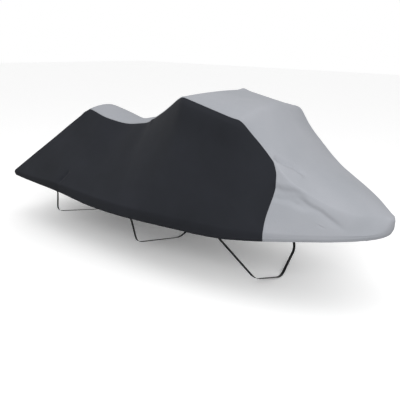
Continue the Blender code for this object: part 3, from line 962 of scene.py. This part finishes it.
def hem_rows(cover, wanted):
    """Both rows round the hem where the cloth is this panel's."""
    edge_rows = []
    for sewn_at in HEM_SEWN_AT:
        step = len(ABOVE_HEM) + sewn_at
        low, high = BELOW - 1 - step, -BELOW + step
        sides = (
            (cover[BELOW:-BELOW, low], [(i, 0) for i in range(len(ROWS))]),
            (cover[BELOW:-BELOW, high], [(i, LAST_COLUMN) for i in range(len(ROWS))]),
            (cover[low, BELOW:-BELOW], [(0, j) for j in range(COLUMNS)]),
            (cover[high, BELOW:-BELOW], [(LAST_ROW_AT, j) for j in range(COLUMNS)]),
        )
        for path, places in sides:
            cells = np.array(places)
            mine = wanted(
                np.clip(cells[:, 0], 0, LAST_ROW_AT - 1), np.clip(cells[:, 1], 0, LAST_COLUMN - 1)
            )
            chord = np.gradient(path, axis=0)
            outward = np.column_stack([chord[:, 1], -chord[:, 0], np.zeros(len(path))])
            outward *= np.sign((outward * (path - COVER_MIDDLE)).sum())
            starts = np.flatnonzero(np.diff(np.concatenate([[0], mine.astype(int), [0]])))
            for first, last in zip(starts[::2], starts[1::2]):
                if last - first > SHORTEST_ROW:
                    edge_rows.append((path[first:last], outward[first:last]))
    return edge_rows


grey_thread = thread("bonded_polyester_thread_grey", "#8B8E92")
black_thread = thread("bonded_polyester_thread_black", "#1D1D20")
sew("grey_sewing", seam_rows() + hem_rows(GREY_COVER, is_grey), grey_thread)


# ---- Belly straps --------------------------------------------------------------------------------
# Three lengths of 20 mm black polypropylene webbing. Each end is sewn flat behind the skirt with a
# box of stitches, and the strap runs tight from the starboard hem, underneath, and up to port.

STRAP_WIDTH = 0.020
STRAP_THICKNESS = 0.0016
STRAP_CLEARANCE = 0.0009
STRAP_SEWN_FROM = 0.6  # share of the skirt's height where the sewn end starts
STRAP_BENDS_AT = 1.15  # and where, just below the hem, the strap turns inboard
STRAP_BEND_RADIUS = 0.05
STRAP_BEND_STEPS = 9
STRAP_STEP = 0.01
RIB_PITCH = 0.0056  # along the strap, where a diagonal wave is twice as long as a straight one
HEM_THICKNESS = 0.003
STRAPS = (
    # name, hem station, bend station, bend half width, bend height, lowest station, lowest height
    ("belly_strap_rear", 0.613, 0.613, 0.560, -0.217, 0.613, -0.360),
    ("belly_strap_middle", 1.466, 1.466, 0.492, -0.266, 1.466, -0.400),
    ("belly_strap_front", 2.184, 2.356, 0.300, -0.329, 2.400, -0.430),
)
BEHIND_OUTER_FACE = HEM_THICKNESS + STRAP_CLEARANCE + STRAP_THICKNESS / 2
FRAME_ORIGIN = np.array([HANDLEBARS, 0, float(stretched_height(HANDLEBARS, 0.0)) - CAD_CLOTH])


def starboard_outward(station):
    """Level direction square to the starboard gunwale, away from the cover."""
    step = STRAP_WIDTH / 2
    widening = float(half_beam(station + step) - half_beam(station - step)) / (2 * step)
    return unit(np.array([-widening, -1, 0]))


def behind_skirt(station, share):
    """Middle of a strap's thickness behind the starboard skirt, share of the way to its hem."""
    gunwale = np.array([station, -float(half_beam(station)), float(gunwale_height(station))])
    depth = float(skirt_depth(station))
    inward = depth * float(rounded_line(SKIRT_PROFILE, 1, share)) + BEHIND_OUTER_FACE
    return gunwale - starboard_outward(station) * inward - np.array([0, 0, depth * share])


def strap_path(hem_station, bend, lowest):
    """From the sewn end behind the starboard skirt, round its bends, and up to port."""
    hem = behind_skirt(hem_station, STRAP_BENDS_AT)
    lean = (bend[0] - hem[0]) / (hem[2] - bend[2])
    depth = float(skirt_depth(hem_station))
    sewn_station = hem_station - lean * depth * (STRAP_BENDS_AT - STRAP_SEWN_FROM)
    starboard = [behind_skirt(sewn_station, STRAP_SEWN_FROM), hem, bend]
    corners = starboard + [lowest] + [point * np.array([1, -1, 1]) for point in reversed(starboard)]
    path = [corners[0]]
    for before, corner, after in zip(corners, corners[1:], corners[2:]):
        longest = min(np.linalg.norm(before - corner), np.linalg.norm(after - corner)) / 3
        reach = min(STRAP_BEND_RADIUS, longest)
        start = corner + unit(before - corner) * reach
        end = corner + unit(after - corner) * reach
        for t in np.linspace(0, 1, STRAP_BEND_STEPS):
            path.append(start * (1 - t) ** 2 + corner * 2 * t * (1 - t) + end * t**2)
    path.append(corners[-1])
    return path


def close_steps(path, longest):
    """The same path with no step longer than this."""
    steps = [path[0]]
    for start, end in zip(path, path[1:]):
        count = math.ceil(np.linalg.norm(end - start) / longest)
        steps += [start + (end - start) * k / count for k in range(1, count + 1)]
    return np.array(steps)


def strap_widths(path, hem_station):
    """Direction of the strap's width: along the gunwale at each hem, straight ahead underneath."""
    along = unit(np.gradient(path, axis=0))
    outward = starboard_outward(hem_station)
    sideways = path[:, 1] / behind_skirt(hem_station, 1.0)[1]
    level = np.zeros(len(path))
    ahead = np.column_stack([level - outward[1], outward[0] * sideways, level])
    ahead -= along * (ahead * along).sum(axis=1, keepdims=True)
    return unit(ahead)


def webbing(name):
    """Polypropylene webbing, twill woven: satiny, with slanting ribs. Real ones are about 2 mm
    apart, and they are drawn coarser, so that they show."""
    material, shader = new_material(name)
    uv = add(material, "ShaderNodeUVMap", {"uv_map": "cloth"})
    ribs = add(
        material,
        "ShaderNodeTexWave",
        {
            "bands_direction": "DIAGONAL",
            "Scale": 2 * WAVE_TO_METRES / RIB_PITCH,
            "Distortion": 0.3,
        },
        Vector=uv.outputs["UV"],
    )
    shade = add(
        material, "ShaderNodeMapRange", {"To Min": 0.7, "To Max": 1.15}, Value=ribs.outputs["Fac"]
    )
    tinted = add(
        material, "ShaderNodeVectorMath", {"operation": "SCALE"}, Scale=shade.outputs["Result"]
    )
    tinted.inputs[0].default_value = linear("#131315")[:3]
    bump = add(
        material,
        "ShaderNodeBump",
        {"Strength": 0.6, "Distance": 0.0005},
        Height=ribs.outputs["Fac"],
    )
    material.node_tree.links.new(tinted.outputs[0], shader.inputs["Base Color"])
    material.node_tree.links.new(bump.outputs["Normal"], shader.inputs["Normal"])
    shader.inputs["Roughness"].default_value = 0.5
    return material


black_webbing = webbing("woven_polypropylene_webbing_black")
ACROSS_STRAP = np.array([-1.0, -0.96, -0.5, 0.0, 0.5, 0.96, 1.0])  # in half widths
for name, hem_station, bend_station, bend_half, bend_height, *lowest_at in STRAPS:
    bend = np.array([bend_station, -bend_half, bend_height])
    lowest = np.array([lowest_at[0], 0, lowest_at[1]])
    path = close_steps(strap_path(hem_station, bend, lowest), STRAP_STEP)
    width = strap_widths(path, hem_station)
    path = path - FRAME_ORIGIN
    bpy.ops.object.select_all(action="DESELECT")
    bpy.ops.mesh.primitive_grid_add(
        x_subdivisions=len(path) - 1, y_subdivisions=len(ACROSS_STRAP) - 1, size=1
    )
    strap = bpy.context.object
    strap.name = strap.data.name = name + "_webbing"
    flat = np.zeros(len(strap.data.vertices) * 3)
    strap.data.vertices.foreach_get("co", flat)
    step = np.rint((flat[0::3] + 0.5) * (len(path) - 1)).astype(int)
    line = np.rint((flat[1::3] + 0.5) * (len(ACROSS_STRAP) - 1)).astype(int)
    offset = ACROSS_STRAP[line] * STRAP_WIDTH / 2
    places = path[step] + width[step] * offset[:, None]
    strap.data.vertices.foreach_set("co", places.ravel())
    run = runs(path)
    loop_vertex = np.zeros(len(strap.data.loops), np.int32)
    strap.data.loops.foreach_get("vertex_index", loop_vertex)
    laid_flat = np.column_stack([run[step], offset])[loop_vertex]
    strap.data.uv_layers[0].name = "cloth"
    strap.data.uv_layers[0].uv.foreach_set("vector", laid_flat.astype(np.float32).ravel())
    give_thickness(strap, STRAP_THICKNESS, offset=0.0)
    strap.data.materials.append(black_webbing)
    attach(strap, "root")
    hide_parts(name)


BOX_TOP, BOX_FOOT = 0.64, 0.92  # shares of the skirt's height
BOX_HALF_WIDTH = 0.36  # as a share of the strap's width


def box_stitches():
    """A crossed box of stitches through the skirt over each sewn end of a strap."""
    rows = []
    for hem_station in [strap[1] for strap in STRAPS]:
        for mirror in (1, -1):
            outward = starboard_outward(hem_station)
            along = np.array([-outward[1], outward[0], 0])
            corners = []
            for reach, share in ((-1, BOX_TOP), (1, BOX_TOP), (1, BOX_FOOT), (-1, BOX_FOOT)):
                outer_face = outward * (BEHIND_OUTER_FACE + HEM_FOLD)
                on_skirt = behind_skirt(hem_station, share) + outer_face
                corners.append(on_skirt + along * reach * STRAP_WIDTH * BOX_HALF_WIDTH)
            corners = np.array(corners) * np.array([1, mirror, 1]) - FRAME_ORIGIN
            facing_out = np.tile(outward * np.array([1, mirror, 1]), (2, 1))
            for first, last in ((0, 1), (1, 2), (2, 3), (3, 0), (0, 2), (1, 3)):
                rows.append((corners[[first, last]], facing_out))
    return rows


sew(
    "black_sewing",
    hem_rows(BLACK_COVER, lambda row, column: ~is_grey(row, column)) + box_stitches(),
    black_thread,
)


# ---- Floor, light and camera ---------------------------------------------------------------------
# A plain white floor under the lowest strap, soft light from all round, a broad lamp overhead and
# one in front, and the camera at the photograph's angle: a slight wide lens close to the starboard
# bow, 20 degrees above level.

FLOOR_SIZE = 60.0
FLOOR_GAP = 0.001
FLOOR_BOUNCE = 0.3  # how light the floor is to the cover above it
FLOOR_WHITE = 1.2  # and to the camera
bpy.ops.object.select_all(action="DESELECT")
bpy.ops.mesh.primitive_plane_add(size=FLOOR_SIZE, location=(0, 0, cad_low.z - FLOOR_GAP))
floor = bpy.context.object
floor.name = "floor"
paper, paper_shader = new_material("matt_white_floor")
floor_seen = add(paper, "ShaderNodeLightPath")
bounce = add(
    paper,
    "ShaderNodeMapRange",
    {"To Min": FLOOR_BOUNCE, "To Max": FLOOR_WHITE},
    Value=floor_seen.outputs["Is Camera Ray"],
)
paper.node_tree.links.new(bounce.outputs["Result"], paper_shader.inputs["Base Color"])
paper_shader.inputs["Roughness"].default_value = 0.9
floor.data.materials.append(paper)

SOFT_LIGHT = 0.8
world = bpy.data.worlds.new("studio")
world.use_nodes = True
world.node_tree.nodes["Background"].inputs["Color"].default_value = (1, 1, 1, 1)
backdrop_seen = add(world, "ShaderNodeLightPath")
strength = add(
    world,
    "ShaderNodeMapRange",
    {"To Min": SOFT_LIGHT, "To Max": 1.0},
    Value=backdrop_seen.outputs["Is Camera Ray"],
)
backdrop = world.node_tree.nodes["Background"]
world.node_tree.links.new(strength.outputs["Result"], backdrop.inputs["Strength"])
bpy.context.scene.world = world


def lamp(name, place, aim, size, power):
    """A broad square lamp that faces the point aimed at."""
    light = bpy.data.lights.new(name, "AREA")
    light.size = size
    light.energy = power
    stand = bpy.data.objects.new(name, light)
    bpy.context.scene.collection.objects.link(stand)
    stand.location = place
    stand.rotation_euler = (Vector(aim) - Vector(place)).to_track_quat("-Z", "Y").to_euler()


lamp("overhead_lamp", (0.0, -1.0, 4.2), (-0.2, 0, -0.5), 2.5, 26)
lamp("front_lamp", (2.6, -3.4, 1.25), (0.3, 0, -0.5), 2.5, 92)

CAMERA_PLACE = (1.7407, -2.4895, 0.2947)
CAMERA_YAW = math.radians(36.69)
CAMERA_PITCH = math.radians(19.87)
CAMERA_ROLL = 0.026
FOCAL_PIXELS = 425.5
FRAME_PIXELS = 400
back = Vector(
    (
        math.sin(CAMERA_YAW) * math.cos(CAMERA_PITCH),
        -math.cos(CAMERA_YAW) * math.cos(CAMERA_PITCH),
        math.sin(CAMERA_PITCH),
    )
)
level = Vector((math.cos(CAMERA_YAW), math.sin(CAMERA_YAW), 0))
upward = back.cross(level)
right = level * math.cos(CAMERA_ROLL) + upward * math.sin(CAMERA_ROLL)
upward = upward * math.cos(CAMERA_ROLL) - level * math.sin(CAMERA_ROLL)
lens = bpy.data.cameras.new("camera")
lens.sensor_width = 36.0
lens.lens = FOCAL_PIXELS * lens.sensor_width / FRAME_PIXELS
camera = bpy.data.objects.new("camera", lens)
bpy.context.scene.collection.objects.link(camera)
turned = Matrix((right, upward, back)).transposed().to_4x4()
camera.matrix_world = Matrix.Translation(CAMERA_PLACE) @ turned
bpy.context.scene.camera = camera
bpy.context.scene.view_settings.view_transform = "Standard"

bpy.context.view_layer.update()
